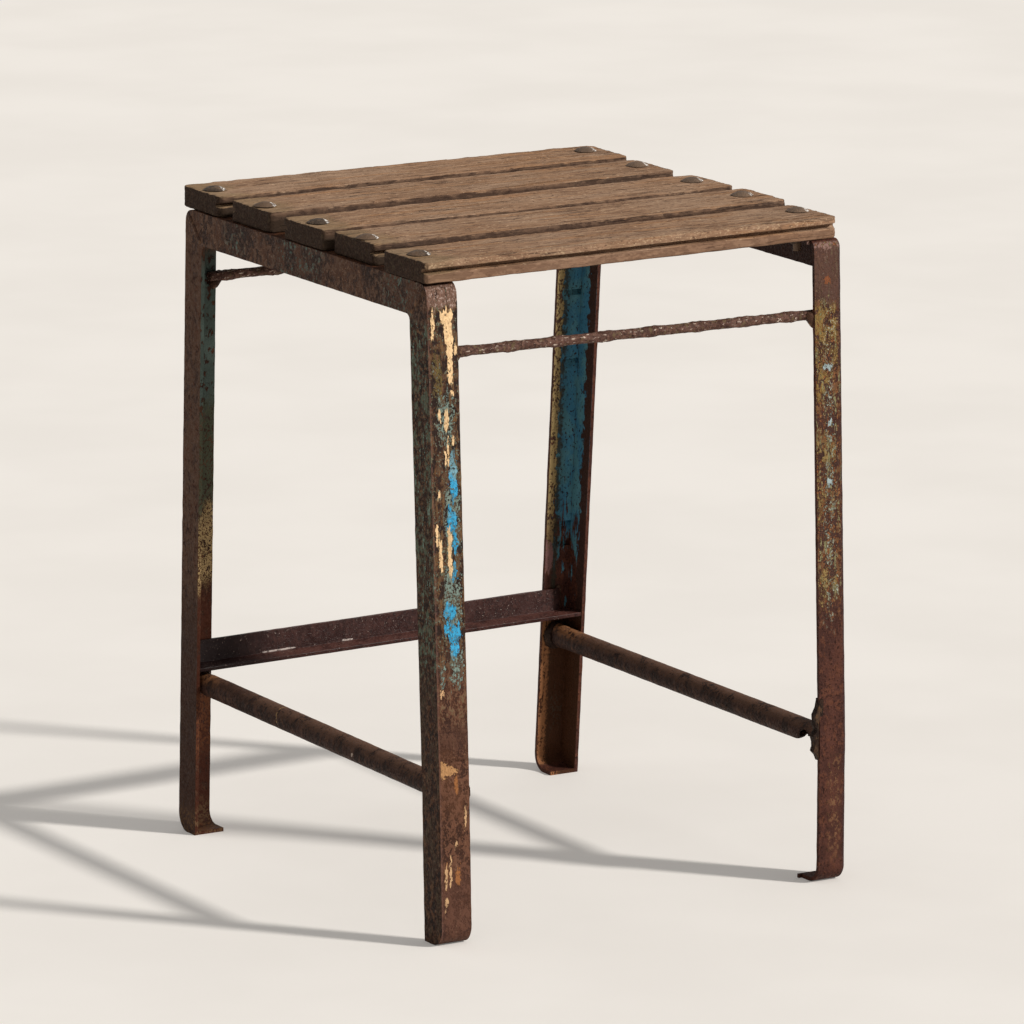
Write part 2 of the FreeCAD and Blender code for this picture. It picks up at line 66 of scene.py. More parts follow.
class Wire:
    """A node's output that sums, products and powers can be written with."""

    def __init__(self, finish, socket):
        self.finish = finish
        self.socket = socket

    def math(self, operation, first, second):
        return self.finish.node("Math", {"operation": operation}, {0: first, 1: second})

    def __add__(self, other):
        return self.math("ADD", self, other)

    def __radd__(self, other):
        return self.math("ADD", other, self)

    def __sub__(self, other):
        return self.math("SUBTRACT", self, other)

    def __rsub__(self, other):
        return self.math("SUBTRACT", other, self)

    def __mul__(self, other):
        return self.math("MULTIPLY", self, other)

    def __rmul__(self, other):
        return self.math("MULTIPLY", other, self)

    def __truediv__(self, other):
        return self.math("DIVIDE", self, other)

    def __pow__(self, other):
        return self.math("POWER", self, other)

    def __abs__(self):
        return self.finish.node("Math", {"operation": "ABSOLUTE"}, {0: self})


def sway(noise, width):
    """A shift by the noise: width mm between its 0 and its 1."""
    return (noise - 0.5) * width * MM


class Finish:
    """A material in the making, with the object's own coordinates ready for use."""

    def __init__(self, name):
        self.material = bpy.data.materials.new(name)
        self.material.use_nodes = True
        self.tree = self.material.node_tree
        self.tree.nodes.clear()
        self.place = self.node("TexCoord", {}, {}, "Object")
        self.x, self.y, self.z = self.parts(self.place)
        normal = self.node("NewGeometry", {}, {}, "True Normal")
        self.facing_x, self.facing_y, self.facing_z = self.parts(normal)

    def node(self, kind, settings, values, output=0):
        """One node: its settings first, then the values or links of its sockets."""
        made = self.tree.nodes.new("ShaderNode" + kind)
        for key, value in settings.items():
            setattr(made, key, value)
        for key, value in values.items():
            socket = made.inputs[key]
            if isinstance(value, Wire):
                self.tree.links.new(value.socket, socket)
            elif socket.type == "RGBA":
                socket.default_value = (*value, 1.0)
            else:
                socket.default_value = value
        return Wire(self, made.outputs[output]) if made.outputs else None

    def parts(self, vector):
        return [self.node("SeparateXYZ", {}, {0: vector}, axis) for axis in "XYZ"]

    def noise(self, size, detail=3.0, roughness=0.55, stretch=(1, 1, 1), shift=0.0):
        """Noise round 0.5 whose spots are about this size, longer along an axis by its stretch."""
        scales = [1 / (size * s) for s in stretch]
        vector = self.node("VectorMath", {"operation": "MULTIPLY_ADD"},
                           {0: self.place, 1: scales, 2: (shift, shift * 0.7, shift * 1.3)})
        values = {"Vector": vector, "Scale": 1.0, "Detail": detail, "Roughness": roughness}
        return self.node("TexNoise", {}, values)

    def step(self, value, low, high):
        """0 below low and 1 above high, smooth between them."""
        values = {"Value": value, "From Min": low, "From Max": high}
        return self.node("MapRange", {"interpolation_type": "SMOOTHSTEP"}, values)

    def band(self, value, low, high, soft):
        """1 between low and high and 0 outside, with soft ends."""
        rise = self.step(value, low - soft, low + soft)
        return rise - self.step(value, high - soft, high + soft)

    def blend(self, factor, colour, other):
        """colour where factor is 0 and other where it is 1."""
        return self.node("Mix", {"data_type": "RGBA"}, {0: factor, 6: colour, 7: other}, 2)

    def bump(self, height, distance):
        """A bumped normal from a height, which the distance scales."""
        values = {"Strength": 1.0, "Distance": distance, "Height": height}
        return self.node("Bump", {}, values, "Normal")

    def surface(self, colour, roughness, normal, **constants):
        """The closing shader. Constants are its other sockets by name, underscores for spaces."""
        values = {"Base Color": colour, "Roughness": roughness, "Normal": normal}
        values.update({key.replace("_", " "): value for key, value in constants.items()})
        shader = self.node("BsdfPrincipled", {}, values, "BSDF")
        self.node("OutputMaterial", {}, {"Surface": shader})
        return self.material


# ---------------------------------------------------------------- finishes

def weathered_wood(name, shift, tint, left_end, right_end, front_edge=None):
    """Dry floorboard with grain along X, cracks, pale and dark streaks, dark end grain and painted
    shade down its sides.

    The board that shows its front side has front_edge, that edge's Y at x = 0 and its slope.
    """
    f = Finish(name)
    fine = f.noise(1.5 * MM, 4.0, 0.62, (9, 1, 1), shift)
    grain = f.noise(3.4 * MM, 4.0, 0.62, (9, 1, 1), shift + 7)
    figure = f.noise(9 * MM, 3.0, 0.55, (14, 1, 1), shift + 13)
    cloud = f.noise(30 * MM, 4.0, 0.62, (2.2, 1, 1), shift + 19)
    crack = f.noise(7 * MM, 3.0, 0.5, (26, 1, 1), shift + 23)
    speck = f.noise(2.2 * MM, 3.0, 0.62, (1.8, 1.3, 1), shift + 29)
    chips = f.noise(3.6 * MM, 4.0, 0.62, (2.2, 1, 1), shift + 31)

    def tone(*colour):
        return tuple(c * tint for c in colour)

    colour = f.blend(f.step(cloud, 0.42, 0.6), tone(0.305, 0.178, 0.104), tone(0.33, 0.208, 0.132))
    colour = f.blend(f.step(figure, 0.53, 0.64) * 0.7, colour, tone(0.35, 0.178, 0.083))
    colour = f.blend(f.step(grain, 0.5, 0.62) * 0.6, colour, tone(0.19, 0.104, 0.06))
    colour = f.blend(f.step(1 - grain, 0.56, 0.68) * 0.45, colour, tone(0.45, 0.29, 0.18))
    colour = f.blend(f.step(fine, 0.52, 0.64) * 0.6, colour, tone(0.14, 0.075, 0.043))
    colour = f.blend(f.step(1 - cloud, 0.56, 0.66) * 0.4, colour, tone(0.16, 0.09, 0.055))
    split = (1 - f.step(abs(crack - 0.5), 0.004, 0.013)) * f.step(figure, 0.42, 0.48)
    colour = f.blend(split * 0.9, colour, (0.05, 0.027, 0.018))
    pits = f.step(speck, 0.6, 0.66)
    colour = f.blend(pits * 0.7, colour, (0.085, 0.045, 0.028))
    colour = f.blend(f.step(1 - speck, 0.61, 0.67) * 0.5, colour, tone(0.58, 0.4, 0.26))

    # olive stains round the left bolts
    stained = 1 - f.step(f.x + sway(cloud, 60), left_end + 12 * MM, left_end + 34 * MM)
    colour = f.blend(stained * 0.45, colour, tone(0.2, 0.145, 0.075))

    # dirty sides with painted shade: darker deeper down into the gaps and nearly black on the
    # lower half between boards; a pale worn band on the front board's side, and a dark underside
    side = f.step(1 - f.facing_z, 0.3, 0.7)
    # painted shade: the sides darker towards their foot, where the neighbouring board shades them
    depth = 1 - f.step(f.z + sway(chips, 6), SEAT_TOP - 5.5 * MM, SEAT_TOP - 1.5 * MM)
    dirt_and_shade = f.blend(f.step(grain * 0.5 + chips * 0.5, 0.44, 0.56), (0.045, 0.024, 0.017),
                   (0.15, 0.088, 0.057))
    dirt_and_shade = f.blend(depth * (0.6 if front_edge else 0.85), dirt_and_shade, (0.04, 0.022, 0.016))
    if front_edge:
        upper_half = f.step(f.z, SEAT_TOP - 7.5 * MM, SEAT_TOP - 6.5 * MM)
        worn = f.blend(f.step(grain * 0.5 + chips * 0.5, 0.46, 0.56), tone(0.14, 0.076, 0.047),
                       tone(0.235, 0.137, 0.086))
        front = side * f.step(-1 * f.facing_y, 0.3, 0.6)
        colour = f.blend(front * (0.8 - 0.45 * upper_half), colour, worn)
        behind = f.y - f.x * front_edge[1] - front_edge[0]
        worn_specks = f.noise(1.2 * MM, 3.0, 0.62, (1.8, 1.3, 1), shift + 41)
        dabs = f.step(worn_specks, 0.57, 0.62) * upper_half * (1 - f.step(behind, 4 * MM, 11 * MM))
        colour = f.blend(dabs * 0.6, colour, tone(0.51, 0.36, 0.22))
        side = side * (1 - front)
    else:
        # painted shade: the lower half of the sides nearly black, in the next board's shadow
        shaded_lower_half = 1 - f.step(f.z, SEAT_TOP - 8.0 * MM, SEAT_TOP - 6.0 * MM)
        dirt_and_shade = f.blend(shaded_lower_half, dirt_and_shade, (0.02, 0.011, 0.008))
    colour = f.blend(side * 0.9, colour, dirt_and_shade)
    below = 1 - f.step(f.facing_z, -0.9, -0.4)
    colour = f.blend(below * 0.7, colour, (0.1, 0.06, 0.04))

    # end grain: nearly black on the left, dry brown on the right
    at_left = 1 - f.step(f.x - sway(chips, 8), left_end, left_end + 1.6 * MM)
    at_right = f.step(f.x + sway(chips, 8), right_end - 1.6 * MM, right_end)
    end_spots = f.noise(1.8 * MM, 4.0, 0.65, (1, 1, 1), shift + 37)
    end_colour = f.blend(f.step(end_spots, 0.45, 0.62), (0.03, 0.016, 0.01), (0.058, 0.033, 0.021))
    end_colour = f.blend(f.step(chips, 0.56, 0.64) * 0.5, end_colour, (0.085, 0.062, 0.036))
    colour = f.blend(at_left, colour, end_colour)
    colour = f.blend(at_right * 0.4, colour, end_colour)

    height = grain * 0.8 + fine * 0.5 - split * 0.4 - pits * 0.2 + speck * 0.5
    height = height * (1 - at_left) + end_spots * 1.2 * at_left
    return f.surface(colour, 0.8 + (grain - 0.5) * 0.5, f.bump(height, 0.8 * MM),
                     Specular_IOR_Level=0.15)


class Rust(Finish):
    """Old steel: mottled brown rust, on which flakes and patches of paint are laid."""

    def __init__(self, name, dark, middle, warm):
        super().__init__(name)
        self.coarse = self.noise(15 * MM, 5.0, 0.65, (1, 1, 1.8), 3)
        self.medium = self.noise(4.5 * MM, 4.0, 0.65, (1, 1, 1.5), 11)
        self.small = self.noise(1.7 * MM, 4.0, 0.65, (1, 1, 1.3), 17)
        self.grit = self.noise(0.9 * MM, 2.0, 0.6, (1, 1, 1), 23)
        self.streaks = self.noise(2.4 * MM, 3.0, 0.6, (1, 1, 8), 29)
        self.colour = self.blend(self.step(self.coarse, 0.42, 0.58), dark, middle)
        self.colour = self.blend(self.step(self.medium, 0.52, 0.6) * 0.75, self.colour, warm)
        self.colour = self.blend(self.step(self.small, 0.54, 0.62) * 0.8, self.colour,
                                 tuple(0.3 * c for c in dark))
        self.colour = self.blend(self.step(self.grit, 0.6, 0.68) * 0.4, self.colour,
                                 tuple(1.5 * c for c in warm))
        self.relief = self.coarse * 0.5 + self.medium + self.small * 0.8 + self.grit * 0.4
        self.gloss = 0.6 + (self.small - 0.5) * 1.2

    def lay(self, mask, colour, thickness=0.0):
        """A layer of colour where the mask is 1, that stands out by its thickness."""
        self.colour = self.blend(mask, self.colour, colour)
        if thickness:
            self.relief = self.relief + mask * thickness

    def flakes(self, noise, share, sharp=0.02):
        """1 on about this share of the surface, in torn islands of the noise."""
        level = 0.5 + (0.5 - share) * NOISE_SPREAD
        return self.step(noise, level - sharp, level + sharp)

    def patches(self, across, spots, torn=1.0, frayed=1.0, holes=0.12):
        """1 in the spots, (low, high, bottom, top) in mm, with torn sides and frayed ends."""
        a = across + sway(self.medium, 8) * torn + sway(self.small, 5) * torn
        z = self.z + sway(self.streaks, 60) * frayed + sway(self.medium, 12) * torn
        nearest = None
        for low, high, bottom, top in spots:
            u = (a - (low + high) / 2 * MM) * (2 / ((high - low) * MM))
            v = (z - (bottom + top) / 2 * MM) * (2 / ((top - bottom) * MM))
            far = u ** 4.0 + v ** 4.0
            nearest = far if nearest is None else self.lower(nearest, far)
        return (1 - self.step(nearest, 0.6, 0.9)) * (1 - self.flakes(self.small, holes))

    def front_leg(self):
        """1 on the side frame's front leg."""
        return 1 - self.step(self.y, -LEG_FADE[1], -LEG_FADE[0])

    def back_leg(self):
        """1 on the side frame's back leg."""
        return self.step(self.y, *LEG_FADE)

    def turned(self, facing):
        """1 where the surface is turned the way that facing measures."""
        return self.step(facing, 0.5, 0.8)

    def lower(self, one, other):
        """The lower of two values."""
        return self.node("Math", {"operation": "MINIMUM"}, {0: one, 1: other})

    def finish(self, distance=0.9 * MM, **constants):
        constants.setdefault("Specular_IOR_Level", 0.12)
        return self.surface(self.colour, self.gloss, self.bump(self.relief, distance), **constants)


CREAM = (0.93, 0.64, 0.35)
PEACH = (0.86, 0.47, 0.19)
SKY = (0.055, 0.4, 0.68)
PALE_SKY = (0.2, 0.38, 0.44)
PALE_TEAL = (0.2, 0.26, 0.22)
DEEP_BLUE = (0.055, 0.2, 0.31)

# Paint left on the near leg's front: places across it from the outer corner, then heights, in mm
NEAR_CREAM = [
    (2.8, 5.6, 443, 467), (9.4, 21.2, 454, 466), (13.0, 21.0, 441, 458), (15.4, 20.2, 409, 448),
    (21.4, 23.8, 432, 441), (17.8, 20.6, 401, 407), (11.6, 15.6, 377, 395), (6.6, 9.0, 381, 391),
    (13.8, 15.4, 352, 373), (18.0, 20.2, 364, 374), (11.4, 13.2, 350, 363), (5.0, 7.8, 328, 334),
    (2.0, 4.6, 294, 310), (4.6, 7.8, 275, 303), (12.3, 15.4, 267, 312),
]
NEAR_FLECKS = [
    (3.0, 5.6, 184, 191), (3.0, 5.8, 43, 60), (7.2, 9.0, 44, 68), (20.4, 22.4, 86, 105),
    (12.0, 14.4, 72, 77), (3.0, 6.4, 29, 37),
]
NEAR_ORANGE = [(12.0, 16.2, 46, 62), (12.2, 15.6, 115, 127), (20.2, 22.4, 86, 105),
               (2.6, 6.2, 43, 61)]
NEAR_SKY = [(14.6, 21.6, 324, 361), (11.6, 19.8, 307, 318), (16.0, 19.8, 290, 307),
            (15.8, 19.4, 268, 283), (7.4, 17.8, 240, 252), (7.6, 20.6, 225, 237),
            (11.4, 19.4, 211, 225)]
NEAR_TEAL = [(9.0, 22.8, 290, 332), (12.0, 22.2, 190, 216), (4.0, 20.0, 372, 402),
             (7.0, 21.4, 232, 280), (3.0, 6.8, 194, 212)]


def left_frame_steel():
    """Near and left leg and the left rail."""
    f = Rust("left_frame_rust", (0.044, 0.018, 0.011), (0.09, 0.036, 0.018), (0.15, 0.06, 0.027))
    across = f.x - OUTER_LEFT
    near = f.front_leg()
    away = f.back_leg()
    on_front = f.turned(-1 * f.facing_y) * near
    on_side = f.turned(-1 * f.facing_x)
    legs = 1 - f.step(f.z, *RAIL_FADE)
    upper = f.step(f.z + sway(f.medium, 60), 180 * MM, 225 * MM)

    # the leg's front: mottled ochre and green patina, then the paint, then rubbed metal on top
    patina = upper * on_front
    f.lay(patina * f.flakes(f.medium, 0.42), (0.115, 0.062, 0.034), 0.3)
    f.lay(patina * f.flakes(f.streaks, 0.25) * 0.8, (0.18, 0.095, 0.04), 0.2)
    f.lay(patina * f.flakes(f.small * 0.6 + f.coarse * 0.4, 0.24), (0.16, 0.15, 0.085), 0.2)
    f.lay(patina * f.flakes(f.small, 0.13), (0.2, 0.215, 0.16), 0.2)
    f.lay(patina * f.flakes(1 - f.medium, 0.34), (0.03, 0.017, 0.013))
    greens = f.patches(across, [(2, 11, 392, 436)], 1.8, 1.2, 0.5) * f.flakes(f.medium, 0.7)
    f.lay(greens * on_front * 0.85, (0.18, 0.135, 0.045), 0.3)
    f.lay(patina * f.flakes(1 - f.small * 0.5 - f.streaks * 0.5, 0.22), (0.024, 0.013, 0.01))
    low_front = on_front * near * (1 - upper)
    mottles = f.flakes(f.small * 0.5 + f.medium * 0.5, 0.55)
    f.lay(low_front * mottles * 0.8, (0.155, 0.068, 0.04), 0.2)
    f.lay(low_front * f.flakes(f.small * 0.5 + f.streaks * 0.5, 0.16), (0.21, 0.105, 0.06), 0.2)
    near_paint = low_front * f.step(f.z, 145 * MM, 180 * MM)
    f.lay(near_paint * f.flakes(f.small * 0.6 + f.medium * 0.4, 0.3) * 0.8, (0.17, 0.12, 0.065))
    f.lay(low_front * (1 - f.step(f.z, 45 * MM, 70 * MM)) * 0.4, (0.07, 0.03, 0.024))
    shadowed = f.band(f.z + sway(f.medium, 30), 142 * MM, 166 * MM, 8 * MM)
    f.lay(low_front * shadowed * 0.5, (0.05, 0.022, 0.016))
    f.lay(f.patches(across, NEAR_TEAL, 1.8, 1.0, 0.5) * on_front, PALE_TEAL, 0.5)
    sky = f.patches(across, NEAR_SKY, 1.3, 0.5, 0.2) * on_front
    f.lay(sky, f.blend(f.step(f.coarse, 0.5, 0.64), SKY, PALE_SKY), 0.8)
    cream = f.patches(across, NEAR_CREAM, 0.6, 0.4, 0.04) * on_front
    f.lay(cream, f.blend(f.step(f.small, 0.52, 0.64) * 0.7, CREAM, PEACH), 0.9)
    f.lay(f.patches(across, NEAR_ORANGE, 0.8, 0.5) * on_front * 0.85, (0.38, 0.15, 0.05), 0.5)
    f.lay(f.patches(across, NEAR_FLECKS, 0.7, 0.4) * on_front, (0.62, 0.38, 0.2), 0.5)
    # a scraped wedge of pale primer at the height of the foot tube
    along = (across - 1.2 * MM) / (15.8 * MM)
    low_edge = (124.6 + (f.small - 0.5) * 12) * MM + along * 4.6 * MM
    high_edge = (138.2 + (f.small - 0.5) * 12) * MM - along * 8.4 * MM
    wedge = f.step(f.z - low_edge, 0.0, 0.5 * MM) * f.step(high_edge - f.z, 0.0, 0.5 * MM)
    wedge = wedge * f.band(across, 1.2 * MM, 17 * MM, 0.3 * MM)
    f.lay(wedge * on_front, (0.5, 0.265, 0.115), 0.5)
    top_wear = f.step(f.z + sway(f.medium, 30), 467 * MM, 471 * MM)
    f.lay(top_wear * on_front * f.flakes(f.streaks, 0.8), (0.215, 0.12, 0.085))
    f.lay(top_wear * on_front * f.flakes(1 - f.small, 0.25), (0.42, 0.3, 0.25), 0.2)
    corner = 1 - f.step(across + sway(f.small, 6), 0.8 * MM, 1.8 * MM)
    f.lay(corner * on_front * 0.4, (0.2, 0.1, 0.075))

    # the leg's side: green and teal flecks on nearly black steel
    flank = on_side * near * legs
    f.lay(flank * f.flakes(f.coarse, 0.5) * 0.6, (0.03, 0.018, 0.012))
    islands = f.coarse * 0.4 + f.medium * 0.6
    f.lay(flank * f.flakes(islands, 0.42) * (0.15 + 0.8 * upper), (0.1, 0.12, 0.082), 0.3)
    f.lay(flank * upper * f.flakes(f.small * 0.5 + f.streaks * 0.5, 0.22), (0.22, 0.3, 0.24), 0.3)
    f.lay(flank * f.flakes(1 - islands, 0.34), (0.021, 0.012, 0.009))
    f.lay(flank * f.flakes(1 - f.small, 0.15) * (0.3 + 0.5 * upper), (0.21, 0.105, 0.045))

    # the rail's side: pinkish brown flakes between dark blotches, with a few blue-green dabs
    rail = f.step(f.z, *RAIL_FADE) * on_side
    f.lay(rail * f.flakes(f.medium, 0.42), (0.125, 0.067, 0.042), 0.3)
    f.lay(rail * f.flakes(f.small, 0.2), (0.24, 0.14, 0.092), 0.2)
    blotches = f.coarse * 0.4 + f.medium * 0.6
    f.lay(rail * f.flakes(1 - blotches, 0.43) * 0.85, (0.026, 0.012, 0.009))
    f.lay(rail * f.flakes(1 - f.medium, 0.18), (0.09, 0.05, 0.035))
    dabs = f.flakes(f.small * 0.5 + f.medium * 0.5, 0.3)
    for low, high in ((-165, -120), (-32, 34), (85, 110)):
        spread = f.band(f.y, low * MM, high * MM, 12 * MM)
        f.lay(rail * dabs * spread * 0.9, (0.12, 0.175, 0.15), 0.3)

    # the left leg: plain brown outside, teal, brass and red-brown down its inner back flange
    inner = f.turned(-1 * f.facing_y) * away
    f.lay(on_side * away * legs * f.flakes(f.medium, 0.6) * 0.7, (0.1, 0.055, 0.034))
    f.lay(on_side * away * (1 - f.step(f.z, 150 * MM, 210 * MM)) * 0.7, (0.036, 0.014, 0.009))
    teal = f.band(f.z, 326 * MM, 448 * MM, 12 * MM) * f.flakes(f.medium, 0.75)
    f.lay(inner * teal, (0.085, 0.115, 0.098), 0.3)
    olive = f.band(f.z + sway(f.coarse, 60), 244 * MM, 332 * MM, 8 * MM)
    f.lay(inner * olive * f.flakes(f.small, 0.65), (0.085, 0.09, 0.055))
    brass = f.band(f.z + sway(f.coarse, 60), 192 * MM, 246 * MM, 8 * MM)
    f.lay(inner * brass * f.flakes(f.small * 0.5 + f.grit * 0.5, 0.56), (0.5, 0.34, 0.16), 0.3)
    red = 1 - f.step(f.z, 175 * MM, 205 * MM)
    f.lay(inner * red * f.flakes(f.medium, 0.75) * 0.9, (0.055, 0.014, 0.006))
    lit_strip = f.band(f.z, 62 * MM, 112 * MM, 8 * MM) * inner
    f.lay(lit_strip * f.flakes(f.small, 0.5) * 0.8, (0.13, 0.045, 0.018))
    toe = 1 - f.step(f.z, 14 * MM, 26 * MM)
    f.lay(toe * away * f.flakes(f.small, 0.4), (0.13, 0.07, 0.035))
    return f.finish()


def right_frame_steel():
    """Right and far leg and the right rail."""
    f = Rust("right_frame_rust", (0.056, 0.02, 0.014), (0.088, 0.031, 0.02), (0.12, 0.042, 0.022))
    across = OUTER_RIGHT - f.x
    near = f.front_leg()
    away = f.back_leg()
    on_front = f.turned(-1 * f.facing_y)
    upper = f.step(f.z + sway(f.medium, 60), 190 * MM, 235 * MM)

    # the right leg's front: ochre and olive paint worn to flakes, with a pale blue line of chips
    face = on_front * near
    torn = f.z + sway(f.coarse, 120)
    f.lay(face * upper * f.flakes(f.medium, 0.36), (0.15, 0.068, 0.03), 0.3)
    mixed = f.coarse * 0.55 + f.small * 0.45
    ochre = f.band(torn, 372 * MM, 442 * MM, 6 * MM) * f.flakes(mixed, 0.58)
    ochre = ochre * f.step(across + sway(f.small, 12), 3 * MM, 5 * MM)
    f.lay(face * ochre, (0.26, 0.16, 0.05), 0.5)
    yellow = f.band(torn, 205 * MM, 350 * MM, 10 * MM) * f.flakes(mixed, 0.36)
    yellow = yellow * f.step(across + sway(f.small, 12), 4 * MM, 7 * MM)
    f.lay(face * yellow, (0.3, 0.2, 0.075), 0.5)
    f.lay(face * upper * f.flakes(1 - f.medium, 0.34), (0.065, 0.03, 0.022))
    f.lay(face * upper * f.flakes(1 - f.small, 0.16), (0.28, 0.1, 0.03))
    f.lay(face * upper * f.flakes(1 - f.small * 0.5 - f.streaks * 0.5, 0.22), (0.24, 0.22, 0.11))
    middle = f.band(across + sway(f.coarse, 20), 6 * MM, 15 * MM, 2 * MM)
    chips = f.flakes(f.small * 0.6 + f.medium * 0.4, 0.3) * upper * middle
    f.lay(face * chips * (1 - f.step(f.z, 365 * MM, 385 * MM)), (0.29, 0.31, 0.24), 0.6)
    f.lay(face * chips * f.flakes(f.grit, 0.4), (0.44, 0.45, 0.36))
    dab = f.patches(across, [(8, 16, 388, 393), (7, 12, 345, 350), (8, 13, 300, 305)], 0.8, 0.15)
    f.lay(face * dab, (0.36, 0.44, 0.44), 0.6)
    spot = f.patches(across, [(8.6, 13.4, 452, 458)], 1.2, 0.2)
    dabs = f.flakes(f.small * 0.6 + f.medium * 0.4, 0.35)
    low_ochre = f.band(f.z, 22 * MM, 96 * MM, 10 * MM) * f.band(across, 4 * MM, 14 * MM, 3 * MM)
    f.lay(face * low_ochre * dabs * 0.8, (0.2, 0.1, 0.05))
    plain = face * f.band(f.z + sway(f.coarse, 30), 438 * MM, 480 * MM, 7 * MM)
    f.lay(plain * f.flakes(f.medium * 0.5 + f.coarse * 0.5, 0.85) * 0.85, (0.1, 0.05, 0.036))
    f.lay(face * spot * 0.6, (0.3, 0.09, 0.025), 0.4)
    top_wear = f.step(f.z + sway(f.medium, 40), 475 * MM, 480 * MM)
    f.lay(face * top_wear * f.flakes(f.small, 0.55), (0.28, 0.165, 0.135))
    edge = 1 - f.step(across + sway(f.small, 6), 0.8 * MM, 2.0 * MM)
    f.lay(face * edge * 0.6, (0.05, 0.03, 0.032))

    # the rail's inner side in the shade of the boards
    shaded = f.turned(-1 * f.facing_x) * f.step(f.z, 440 * MM, 456 * MM)
    f.lay(shaded * 0.75, (0.02, 0.009, 0.007))

    # the far leg's inner corner: deep blue paint between an ochre edge and a dark one
    into_back = on_front * away * f.step(across, 3.05 * MM, 3.25 * MM)
    into_side = f.turned(-1 * f.facing_x) * away * (1 - f.step(across, 8 * MM, 9 * MM))
    fray = f.z + sway(f.streaks, 260) + sway(f.coarse, 150)
    blue = f.step(fray, 185 * MM, 200 * MM) * (1 - f.flakes(f.small, 0.1))
    tone = f.blend(f.step(f.coarse, 0.44, 0.6), DEEP_BLUE, (0.095, 0.25, 0.3))
    tone = f.blend(f.step(f.z, 390 * MM, 440 * MM) * 0.6, tone, (0.05, 0.1, 0.13))
    tone = f.blend(f.step(across, 7 * MM, 14 * MM) * 0.5, tone, (0.035, 0.085, 0.1))
    reach = f.step(across + sway(f.medium, 14), 18.0 * MM, 19.0 * MM)
    f.lay(into_back * blue * (1 - reach), tone, 0.4)
    fillet = f.step(-1 * f.facing_y, 0.05, 0.2) * f.step(-1 * f.facing_x, 0.05, 0.2) * away
    f.lay(fillet * (1 - f.step(across, 9 * MM, 10 * MM)) * blue, tone)
    from_back = f.y + sway(f.medium, 20) + f.z * 0.0726
    side_reach = f.step(from_back, 190 * MM, 191.5 * MM)
    f.lay(into_side * blue * side_reach, tone, 0.4)
    f.lay(into_side * (1 - side_reach) * 0.8, (0.04, 0.02, 0.014))
    strip = into_back * reach * f.step(f.z, 150 * MM, 230 * MM)
    f.lay(strip * f.flakes(f.medium * 0.4 + f.small * 0.6, 0.62), (0.34, 0.24, 0.105), 0.3)
    f.lay(strip * f.flakes(1 - f.small, 0.2), (0.07, 0.04, 0.025))
    shade = f.band(across + sway(f.small, 10), 14.6 * MM, 19.0 * MM, 1.2 * MM)
    f.lay(into_back * shade * f.flakes(f.medium, 0.8) * 0.85, (0.035, 0.03, 0.02))
    pink = f.patches(across, [(18, 26, 160, 186)], 1.0, 0.5)
    f.lay(into_back * pink, (0.2, 0.1, 0.09))
    low = 1 - f.step(f.z + sway(f.medium, 40), 118 * MM, 135 * MM)
    f.lay(away * low * 0.85 * (into_back + into_side), (0.056, 0.02, 0.007))
    lit_edge = f.step(across + sway(f.small, 10), 16.5 * MM, 20.5 * MM) * low * into_back
    f.lay(lit_edge * f.flakes(f.small * 0.5 + f.streaks * 0.5, 0.62) * 0.8, (0.36, 0.155, 0.066))
    flake = f.patches(across, [(3, 15, 36, 62)], 1.8, 1.0, 0.6)
    f.lay(into_back * flake * 0.4, (0.06, 0.06, 0.045))
    return f.finish()


def tube_steel():
    """Foot tubes: nearly black brown, painted highlights mixed with wear on top, a painted orange
    highlight on top at the back, and bright scratches.
    """
    f = Rust("tube_rust", (0.023, 0.011, 0.008), (0.046, 0.021, 0.015), (0.075, 0.034, 0.022))
    top = f.step(f.facing_z, 0.1, 0.9)
    left = 1 - f.step(f.x, *SIDE_FADE)
    dim_end = left * f.step(f.y, 75 * MM, 110 * MM)
    # painted highlight mixed with wear: lighter flakes on the tops, dimmer towards the left tube's
    # back end
    worn_and_lit_top = top * (1 - dim_end * 0.7)
    f.lay(worn_and_lit_top * f.flakes(f.coarse * 0.5 + f.small * 0.5, 0.65) * 0.8, (0.155, 0.08, 0.05))
    f.lay(f.flakes(f.small * 0.5 + f.medium * 0.5, 0.12) * 0.7, (0.15, 0.083, 0.05))
    # painted highlight: orange flakes on the tops near the back end
    back_end_highlight = f.step(f.y + sway(f.medium, 40), 135 * MM, 168 * MM)
    f.lay(back_end_highlight * top * f.flakes(f.small * 0.5 + f.medium * 0.5, 0.65), (0.3, 0.135, 0.06))
    scratch = f.band(f.y - f.z * 0.35, 4.0 * MM, 5.6 * MM, 0.5 * MM) * left
    f.lay(scratch * f.flakes(f.small, 0.45), (0.36, 0.22, 0.1))
    chip = f.patches(f.y, [(-67.8, -65.2, 112, 116)], 0.6, 0.3) * left
    f.lay(chip, (0.42, 0.33, 0.27))
    return f.finish(0.7 * MM)


